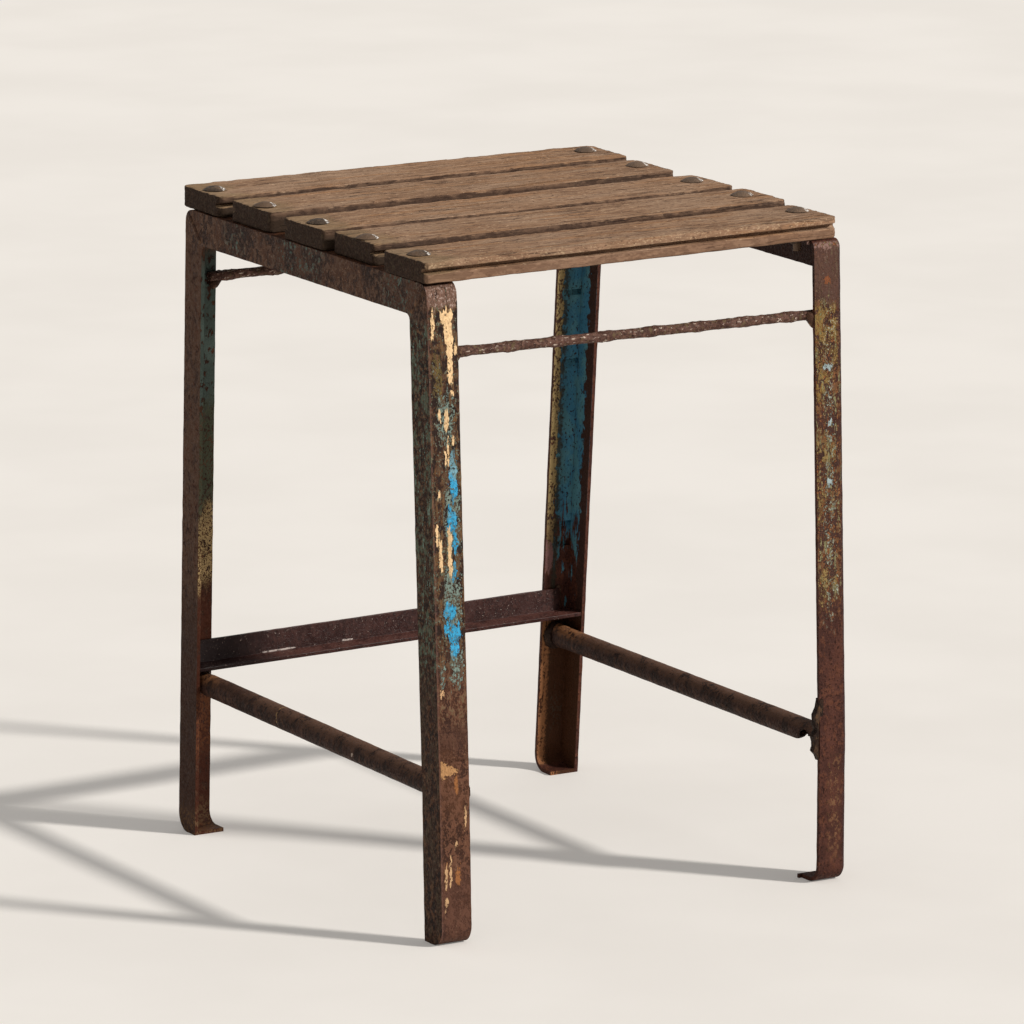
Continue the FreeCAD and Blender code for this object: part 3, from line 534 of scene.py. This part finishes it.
def stretcher_steel():
    """Back stretcher: dark purplish brown, half glossy, with painted light on the flange's top and
    a painted highlight at the foot of the web.
    """
    f = Rust("stretcher_rust", (0.03, 0.01, 0.008), (0.045, 0.016, 0.013), (0.066, 0.025, 0.019))
    # painted light mixed with blotches: lighter red-brown on the upward faces of the flange
    lower = f.step(f.facing_z, 0.5, 0.9)
    f.lay(lower * f.flakes(f.coarse * 0.4 + f.small * 0.6, 0.6) * 0.6, (0.13, 0.052, 0.04))
    web = f.step(-1 * f.facing_y, 0.5, 0.9)
    f.lay((1 - f.step(f.x, -150 * MM, -92 * MM)) * 0.95, (0.01, 0.004, 0.004))
    f.lay(web * (1 - f.step(f.x, -60 * MM, 60 * MM)) * 0.2, (0.022, 0.009, 0.007))
    # painted highlight: pale streaks at the foot of the web, where it meets the flange
    web_foot_highlight = f.patches(f.x, [(-112, -80, 131.2, 132.6), (-40, -29, 131.2, 132.6)], 0.12, 0.0, 0.25)
    f.lay(web_foot_highlight * web, (0.5, 0.42, 0.38))
    f.lay(f.flakes(f.grit * 0.5 + f.small * 0.5, 0.02), (0.36, 0.26, 0.22))
    f.gloss = 0.36 + (f.medium - 0.5) * 0.8
    return f.finish(0.45 * MM, Coat_Weight=0.05, Coat_Roughness=0.3)


def bar_steel():
    """Ribbed bars: rust brown with cream glints on the raised places."""
    f = Rust("bar_rust", (0.085, 0.04, 0.03), (0.135, 0.068, 0.05), (0.18, 0.095, 0.066))
    glints = f.noise(1.6 * MM, 3.0, 0.6, (2.5, 1, 1), 41)
    f.lay(f.flakes(1 - glints, 0.25) * 0.7, (0.06, 0.032, 0.023))
    f.lay(f.flakes(glints, 0.03), (0.55, 0.43, 0.35), 0.4)
    f.lay(f.flakes(1 - f.medium, 0.16) * 0.6, (0.16, 0.115, 0.055))
    return f.finish(0.8 * MM)


def weld_steel(name, shade):
    """Lumpy weld beads: rust brown with bare crests, every colour times the shade."""
    tones = [(0.045, 0.022, 0.015), (0.095, 0.046, 0.028), (0.16, 0.09, 0.05), (0.26, 0.13, 0.065)]
    dark, middle, warm, crest = (tuple(shade * c for c in tone) for tone in tones)
    f = Rust(name, dark, middle, warm)
    f.lay(f.flakes(f.medium * 0.6 + f.small * 0.4, 0.16) * 0.8, crest)
    return f.finish(0.9 * MM)


def bolt_steel():
    """Bolt heads and nuts: dull zinc gone brown like the boards, with a painted glint on the
    heads' sunward side.
    """
    f = Rust("bolt_zinc", (0.068, 0.044, 0.029), (0.118, 0.079, 0.052), (0.165, 0.108, 0.07))
    f.lay(f.flakes(f.coarse, 0.45) * 0.8, (0.165, 0.1, 0.06))
    right_heads = f.step(f.x, *SIDE_FADE) * f.step(f.z, SEAT_TOP - 1 * MM, SEAT_TOP)
    f.lay(right_heads * 0.5, (0.23, 0.15, 0.1))
    # painted highlight: a near-white glint on the right front of the domed heads, towards the sun
    sunward_glint = f.step(f.facing_x, 0.16, 0.26) * f.step(-1 * f.facing_y, -0.02, 0.12)
    f.lay(sunward_glint * f.step(f.facing_z, 0.5, 0.6) * f.flakes(f.small, 0.45), (0.85, 0.8, 0.74))
    f.gloss = 0.5 + (f.small - 0.5) * 1.2
    return f.finish(0.7 * MM, Metallic=0.15, Specular_IOR_Level=0.3)


# ---------------------------------------------------------------- modelling

def select_only(*objects):
    bpy.ops.object.select_all(action="DESELECT")
    for piece in objects:
        piece.select_set(True)
    bpy.context.view_layer.objects.active = objects[0]


def apply_modifiers(piece):
    select_only(piece)
    for modifier in list(piece.modifiers):
        bpy.ops.object.modifier_apply(modifier=modifier.name)


def edit(piece):
    """Opens edit mode on this piece alone, with nothing selected."""
    select_only(piece)
    bpy.ops.object.mode_set(mode="EDIT")
    bpy.ops.mesh.select_mode(type="FACE")
    bpy.ops.mesh.select_all(action="DESELECT")


def leave_edit():
    bpy.ops.object.mode_set(mode="OBJECT")


def pick_faces(piece, test):
    """Selects the faces whose middle passes the test."""
    bpy.ops.object.mode_set(mode="OBJECT")
    for face in piece.data.polygons:
        face.select = test(face.center)
    bpy.ops.object.mode_set(mode="EDIT")


def cloud_texture(name, size, depth):
    texture = bpy.data.textures.new(name, "CLOUDS")
    texture.noise_scale = size
    texture.noise_depth = depth
    texture.noise_basis = "ORIGINAL_PERLIN"
    return texture


def add_displace(piece, name, texture, strength, level, guide=None, group=None):
    """Moves the surface along its normals by a cloud texture."""
    made = piece.modifiers.new(name, "DISPLACE")
    made.texture = texture
    made.strength = strength
    made.mid_level = level
    made.texture_coords = "OBJECT" if guide else "LOCAL"
    if guide:
        made.texture_coords_object = guide
    if group:
        made.vertex_group = group


def set_finish(piece, material):
    piece.data.materials.clear()
    piece.data.materials.append(material)


def hand_over(piece, node):
    """The piece stands for its CAD node, which is hidden, and rides on the stool."""
    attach(piece, "root")
    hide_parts(node)


def merged_copy(node, name):
    """A copy of a CAD node's mesh with its loose triangles joined."""
    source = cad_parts[node]
    piece = bpy.data.objects.new(name, source.data.copy())
    bpy.context.scene.collection.objects.link(piece)
    edit(piece)
    bpy.ops.mesh.select_all(action="SELECT")
    bpy.ops.mesh.remove_doubles(threshold=0.002 * MM)
    bpy.ops.mesh.normals_make_consistent(inside=False)
    leave_edit()
    return piece


def smooth(piece, degrees):
    select_only(piece)
    bpy.ops.object.shade_smooth_by_angle(angle=math.radians(degrees))


# Edges sharper than this many degrees stay sharp
STEEL_SHARP = 22
LUMPY_SHARP = 60
BOARD_SHARP = 50

# The size of dents in cut steel, and a middle level that moves a surface slightly more in than out
DENT_SIZE = 8 * MM
SLIGHTLY_IN = 0.55


def cut_in_lengths(piece, axis, length):
    """Cuts across the piece every so often along an axis, so that its faces can bend."""
    edit(piece)
    normal = [0, 0, 0]
    normal[axis] = 1
    low = min(v.co[axis] for v in piece.data.vertices)
    high = max(v.co[axis] for v in piece.data.vertices)
    count = int((high - low) / length)
    for number in range(1, count):
        place = [0, 0, 0]
        place[axis] = low + number * (high - low) / count
        bpy.ops.mesh.select_all(action="SELECT")
        bpy.ops.mesh.bisect(plane_co=place, plane_no=normal)
    leave_edit()


def eased_piece(node, name, material, ease, dissolve=0.6, uneven=None):
    """A rolled or cut steel piece with eased edges, uneven where (axes, length, depth) say so.

    Faces that lie within the dissolve angle, in degrees, are joined first.
    """
    piece = merged_copy(node, name)
    edit(piece)
    bpy.ops.mesh.select_all(action="SELECT")
    bpy.ops.mesh.dissolve_limited(angle_limit=math.radians(dissolve))
    leave_edit()
    bevel = piece.modifiers.new("ease", "BEVEL")
    bevel.width = ease
    bevel.segments = 2
    bevel.limit_method = "ANGLE"
    bevel.angle_limit = math.radians(40)
    apply_modifiers(piece)
    if uneven:
        axes, length, depth = uneven
        for axis in axes:
            cut_in_lengths(piece, axis, length)
        dents = cloud_texture(name + "_dents", DENT_SIZE, 3)
        add_displace(piece, "uneven", dents, depth, SLIGHTLY_IN)
        apply_modifiers(piece)
    smooth(piece, STEEL_SHARP)
    set_finish(piece, material)
    hand_over(piece, node)


def lumpy_piece(node, name, material, lumps):
    """A corroded or welded piece, remeshed and made uneven by (grain, lumps' size, height)."""
    grain, size, height = lumps
    piece = merged_copy(node, name)
    remesh = piece.modifiers.new("remesh", "REMESH")
    remesh.mode = "VOXEL"
    remesh.voxel_size = grain
    texture = cloud_texture(name + "_lumps", size, 2)
    add_displace(piece, "lumps", texture, height, SLIGHTLY_IN)
    apply_modifiers(piece)
    smooth(piece, LUMPY_SHARP)
    set_finish(piece, material)
    hand_over(piece, node)


# ---------------------------------------------------------------- slats

# The slats from back to front: the node, the side of its groove (-1 front, 1 back), how light its
# wood is, and the radii of its left and right corners in mm
SLATS = [
    ("slat_1_back", -1, 1.2, (6, 7)),
    ("slat_2", 1, 1.13, (4, 7)),
    ("slat_3_middle", 1, 1.2, (4, 8)),
    ("slat_4", -1, 1.16, (4, 7)),
    ("slat_5_front", -1, 1.12, (4, 6)),
]
GROOVE_TOP = SEAT_TOP - 5.9 * MM
GROOVE_BOTTOM = GROOVE_TOP - 2.6 * MM
GROOVE_DEPTH = 6 * MM
SLAT_WIDTH = 60.5 * MM
# Room that the wear leaves round a board, the easing of its edges and the grain of its remesh
WEAR = 0.35 * MM
BOARD_EASE = 1.9 * MM
BOARD_GRAIN = 1.0 * MM
# How far the ragged ends and the chipped long edges reach, and the end grain's inset
END_REACH = 3 * MM
ARRIS_REACH = 1.5 * MM
END_INSET = 0.8 * MM
# The grain relief is drawn out along X, and each board takes another part of the patterns
GRAIN_STRETCH = (30 * MM, 2.4 * MM, 2.4 * MM)
RELIEF_STEP = 0.37
PATTERN_STEP = 5.3
# How far a line leans that meets a board's corner first
CORNER_LEAN = 0.15


def slat_turn(node):
    """The angle by which a slat is turned, from the front upper corners of its CAD node."""
    points = [v.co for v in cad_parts[node].data.vertices]
    upper = [p for p in points if p.z > SEAT_TOP - 3 * MM]
    front_left = min(upper, key=lambda p: p.x * CORNER_LEAN + p.y)
    front_right = min(upper, key=lambda p: p.y - p.x * CORNER_LEAN)
    return math.atan2(front_right.y - front_left.y, front_right.x - front_left.x)


def mark_vertices(piece, name, test):
    """A vertex group of the points that pass the test."""
    group = piece.vertex_groups.new(name=name)
    group.add([v.index for v in piece.data.vertices if test(v.co)], 1.0, "REPLACE")


def across_board(point, middle, turn):
    """How far a point is from the board's middle line."""
    return abs((point.y - middle.y) * math.cos(turn) - point.x * math.sin(turn))


def near_long_edge(point, middle, half, top, turn):
    """True close to a board's long upper edges."""
    from_edge = half - across_board(point, middle, turn)
    return from_edge < ARRIS_REACH and top - point.z < ARRIS_REACH


def round_corners(board, left, right, radii, middle, half, turn):
    """Rounds the upright edges at the board's ends to its left and right radius."""
    for end, radius in zip((left, right), radii):
        select_only(board)
        bpy.ops.object.mode_set(mode="EDIT")
        bpy.ops.mesh.select_mode(type="EDGE")
        bpy.ops.mesh.select_all(action="DESELECT")
        bpy.ops.object.mode_set(mode="OBJECT")
        points = board.data.vertices
        for edge in board.data.edges:
            one, two = (points[i].co for i in edge.vertices)
            upright = abs(one.z - two.z) > 1 * MM and (one - two).xy.length < 0.1 * MM
            outer = half - across_board(one, middle, turn) < 0.5 * MM
            edge.select = upright and outer and abs(one.x - end) < 4 * MM
        bpy.ops.object.mode_set(mode="EDIT")
        bpy.ops.mesh.bevel(offset=radius, segments=5, affect="EDGES")
        bpy.ops.object.mode_set(mode="OBJECT")


def slat(node, groove_side, tint, corner, number):
    """A floorboard: its end profile is cut from a plate, drawn out along X and worn."""
    low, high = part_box(node)
    turn = slat_turn(node)
    middle = (low + high) / 2
    half = SLAT_WIDTH / 2 - WEAR
    left, right = low.x, high.x + WEAR
    bottom, top = low.z, high.z - WEAR / 2
    bpy.ops.object.select_all(action="DESELECT")
    bpy.ops.mesh.primitive_plane_add(size=1, location=(left, middle.y, (bottom + top) / 2),
                                     rotation=(0, math.radians(-90), 0))
    board = bpy.context.object
    board.name = node + "_board"
    board.scale = (top - bottom, 2 * half, 1)
    bpy.ops.object.transform_apply(location=True, rotation=True, scale=True)
    bpy.ops.object.mode_set(mode="EDIT")
    for height in (GROOVE_BOTTOM, GROOVE_TOP):
        bpy.ops.mesh.select_all(action="SELECT")
        bpy.ops.mesh.bisect(plane_co=(left, middle.y, height), plane_no=(0, 0, 1))
    groove_y = middle.y + groove_side * (half - GROOVE_DEPTH)
    bpy.ops.mesh.select_all(action="SELECT")
    bpy.ops.mesh.bisect(plane_co=(left, groove_y, bottom), plane_no=(0, 1, 0))
    pick_faces(board, lambda c: GROOVE_BOTTOM < c.z < GROOVE_TOP
               and (c.y - groove_y) * groove_side > 0)
    bpy.ops.mesh.delete(type="FACE")
    bpy.ops.mesh.select_all(action="SELECT")
    bpy.ops.mesh.extrude_region_move(TRANSFORM_OT_translate={"value": (right - left, 0, 0)})
    bpy.ops.mesh.select_all(action="SELECT")
    bpy.ops.mesh.normals_make_consistent(inside=False)
    bpy.ops.mesh.dissolve_limited(angle_limit=math.radians(1))
    bpy.ops.transform.rotate(value=-turn, orient_axis="Z", center_override=(0, middle.y, 0))
    leave_edit()
    round_corners(board, left, right, corner, middle, half, turn)
    bevel = board.modifiers.new("ease", "BEVEL")
    bevel.width = BOARD_EASE
    bevel.segments = 3
    bevel.limit_method = "ANGLE"
    remesh = board.modifiers.new("remesh", "REMESH")
    remesh.mode = "VOXEL"
    remesh.voxel_size = BOARD_GRAIN
    guide = bpy.data.objects.new(node + "_grain_guide", None)
    bpy.context.scene.collection.objects.link(guide)
    guide.scale = GRAIN_STRETCH
    guide.location = (0, number * RELIEF_STEP, 0)
    bpy.context.view_layer.update()
    bpy.ops.object.modifier_apply(modifier="ease")
    bpy.ops.object.modifier_apply(modifier="remesh")
    mark_vertices(board, "ends", lambda p: min(p.x - left, right - p.x) < END_REACH)
    mark_vertices(board, "arrises", lambda p: near_long_edge(p, middle, half, top, turn))
    add_displace(board, "broad wear", cloud_texture(node + "_broad", 26 * MM, 2), -1.2 * MM, 0.25)
    add_displace(board, "grain relief", cloud_texture(node + "_relief", 1.0, 2), 0.6 * MM, 0.62,
                 guide)
    add_displace(board, "rough ends", cloud_texture(node + "_ends", 5 * MM, 3), -1.2 * MM, 0.3,
                 group="ends")
    add_displace(board, "chipped edges", cloud_texture(node + "_chips", 9 * MM, 3), -1.7 * MM,
                 0.42, group="arrises")
    apply_modifiers(board)
    bpy.data.objects.remove(guide)
    smooth(board, BOARD_SHARP)
    front_edge = (middle.y - half, math.tan(turn)) if node == "slat_5_front" else None
    finish = weathered_wood(node + "_wood", number * PATTERN_STEP, tint, low.x + END_INSET,
                            high.x - END_INSET, front_edge)
    set_finish(board, finish)
    hand_over(board, node)


# ---------------------------------------------------------------- the stool

for number, (node, groove_side, tint, radii) in enumerate(SLATS):
    slat(node, groove_side, tint, [radius * MM for radius in radii], number)

# Uneven steel: the axes along which it is cut, the cuts' distance and the dents' depth
FRAME_DENTS = ((1, 2), 5 * MM, 0.9 * MM)
STRETCHER_DENTS = ((0,), 6 * MM, 0.5 * MM)

# Lumpy steel: the grain of its remesh, and the size and height of its lumps
TUBE_LUMPS = (0.9 * MM, 12 * MM, 0.5 * MM)
TUBE_BEAD_LUMPS = (0.6 * MM, 4 * MM, 1.0 * MM)
CORNER_BEAD_LUMPS = (0.35 * MM, 4 * MM, 0.5 * MM)
BAR_LUMPS = (0.5 * MM, 6 * MM, 1.0 * MM)
BAR_BEAD_LUMPS = (0.5 * MM, 3 * MM, 0.9 * MM)
STRETCHER_BEAD_LUMPS = (0.4 * MM, 3 * MM, 0.8 * MM)

eased_piece("left_side_frame", "left_side_frame_steel", left_frame_steel(), 0.5 * MM,
            uneven=FRAME_DENTS)
eased_piece("right_side_frame", "right_side_frame_steel", right_frame_steel(), 0.5 * MM,
            uneven=FRAME_DENTS)
eased_piece("back_stretcher", "back_stretcher_steel", stretcher_steel(), 0.5 * MM,
            uneven=STRETCHER_DENTS)

zinc = bolt_steel()
for side in ("left", "right"):
    eased_piece(side + "_slat_bolts", side + "_bolt_heads", zinc, 0.25 * MM, 0.1)
    eased_piece(side + "_bolt_nuts", side + "_nuts", zinc, 0.3 * MM)

tube = tube_steel()
bar = bar_steel()
weld = weld_steel("weld_rust", 1.0)
tube_welds = {"left": weld, "right": weld_steel("smeared_weld_rust", 0.42)}
for side in ("left", "right"):
    lumpy_piece(side + "_foot_tube", side + "_foot_tube_steel", tube, TUBE_LUMPS)
    lumpy_piece(side + "_tube_welds", side + "_tube_beads", tube_welds[side], TUBE_BEAD_LUMPS)
    lumpy_piece(side + "_corner_welds", side + "_corner_beads", weld, CORNER_BEAD_LUMPS)
for end in ("front", "back"):
    lumpy_piece(end + "_ribbed_bar", end + "_bar_steel", bar, BAR_LUMPS)
    lumpy_piece(end + "_bar_welds", end + "_bar_beads", weld, BAR_BEAD_LUMPS)
lumpy_piece("stretcher_welds", "stretcher_beads", weld, STRETCHER_BEAD_LUMPS)


# ---------------------------------------------------------------- stage, light and camera

def floor_finish():
    """Pale matt floor that looks as pale to the camera as the backdrop."""
    f = Finish("pale_floor")
    path = f.node("LightPath", {}, {}, "Is Camera Ray")
    grain = f.noise(0.25, 3.0, 0.5)
    colour = f.blend(f.step(grain, 0.3, 0.7), (0.8, 0.765, 0.72), (0.84, 0.805, 0.76))
    diffuse = f.node("BsdfDiffuse", {}, {"Color": colour})
    glow = f.node("Emission", {}, {"Color": (0.8, 0.77, 0.73), "Strength": 0.16})
    lift = f.node("AddShader", {}, {0: diffuse, 1: glow})
    mixed = f.node("MixShader", {}, {0: path, 1: diffuse, 2: lift})
    f.node("OutputMaterial", {}, {"Surface": mixed})
    return f.material


def stage_floor():
    bpy.ops.object.select_all(action="DESELECT")
    bpy.ops.mesh.primitive_plane_add(size=60, location=(0, 0, 0))
    floor = bpy.context.object
    floor.name = "studio_floor"
    set_finish(floor, floor_finish())


def sky(strength, colour):
    world = bpy.data.worlds.new("studio")
    bpy.context.scene.world = world
    world.use_nodes = True
    background = world.node_tree.nodes["Background"]
    background.inputs["Color"].default_value = (*colour, 1.0)
    background.inputs["Strength"].default_value = strength


def sun(name, towards, strength, angle, colour):
    """A broad lamp that shines towards a direction, its angle in degrees."""
    lamp = bpy.data.lights.new(name, "SUN")
    lamp.energy = strength
    lamp.angle = math.radians(angle)
    lamp.color = colour
    holder = bpy.data.objects.new(name, lamp)
    bpy.context.scene.collection.objects.link(holder)
    holder.rotation_euler = Vector(towards).to_track_quat("-Z", "Y").to_euler()


def camera():
    """The photo's view: place in metres, turn from +Y to +X, tilt down and roll in degrees."""
    place = Vector((-2.974, -4.8862, 1.5403))
    yaw, pitch, roll = (math.radians(a) for a in (31.351, 12.582, 0.224))
    ahead = Vector((math.sin(yaw) * math.cos(pitch), math.cos(yaw) * math.cos(pitch),
                    -math.sin(pitch)))
    right = Vector((math.cos(yaw), -math.sin(yaw), 0))
    up = right.cross(ahead)
    right, up = (right * math.cos(roll) + up * math.sin(roll),
                 up * math.cos(roll) - right * math.sin(roll))
    lens = bpy.data.cameras.new("photo_view")
    lens.sensor_width = 36
    lens.lens = 275.27
    lens.clip_end = 100
    holder = bpy.data.objects.new("photo_view", lens)
    bpy.context.scene.collection.objects.link(holder)
    turn = Matrix((right, up, -ahead)).transposed().to_4x4()
    holder.matrix_world = Matrix.Translation(place) @ turn
    bpy.context.scene.camera = holder


stage_floor()
sky(strength=0.36, colour=(1.0, 0.985, 0.97))
sun("key", towards=(-0.55, 0.63, -0.54), strength=3.0, angle=5, colour=(1.0, 0.97, 0.93))
camera()
bpy.context.scene.view_settings.view_transform = "Standard"

bpy.context.view_layer.update()
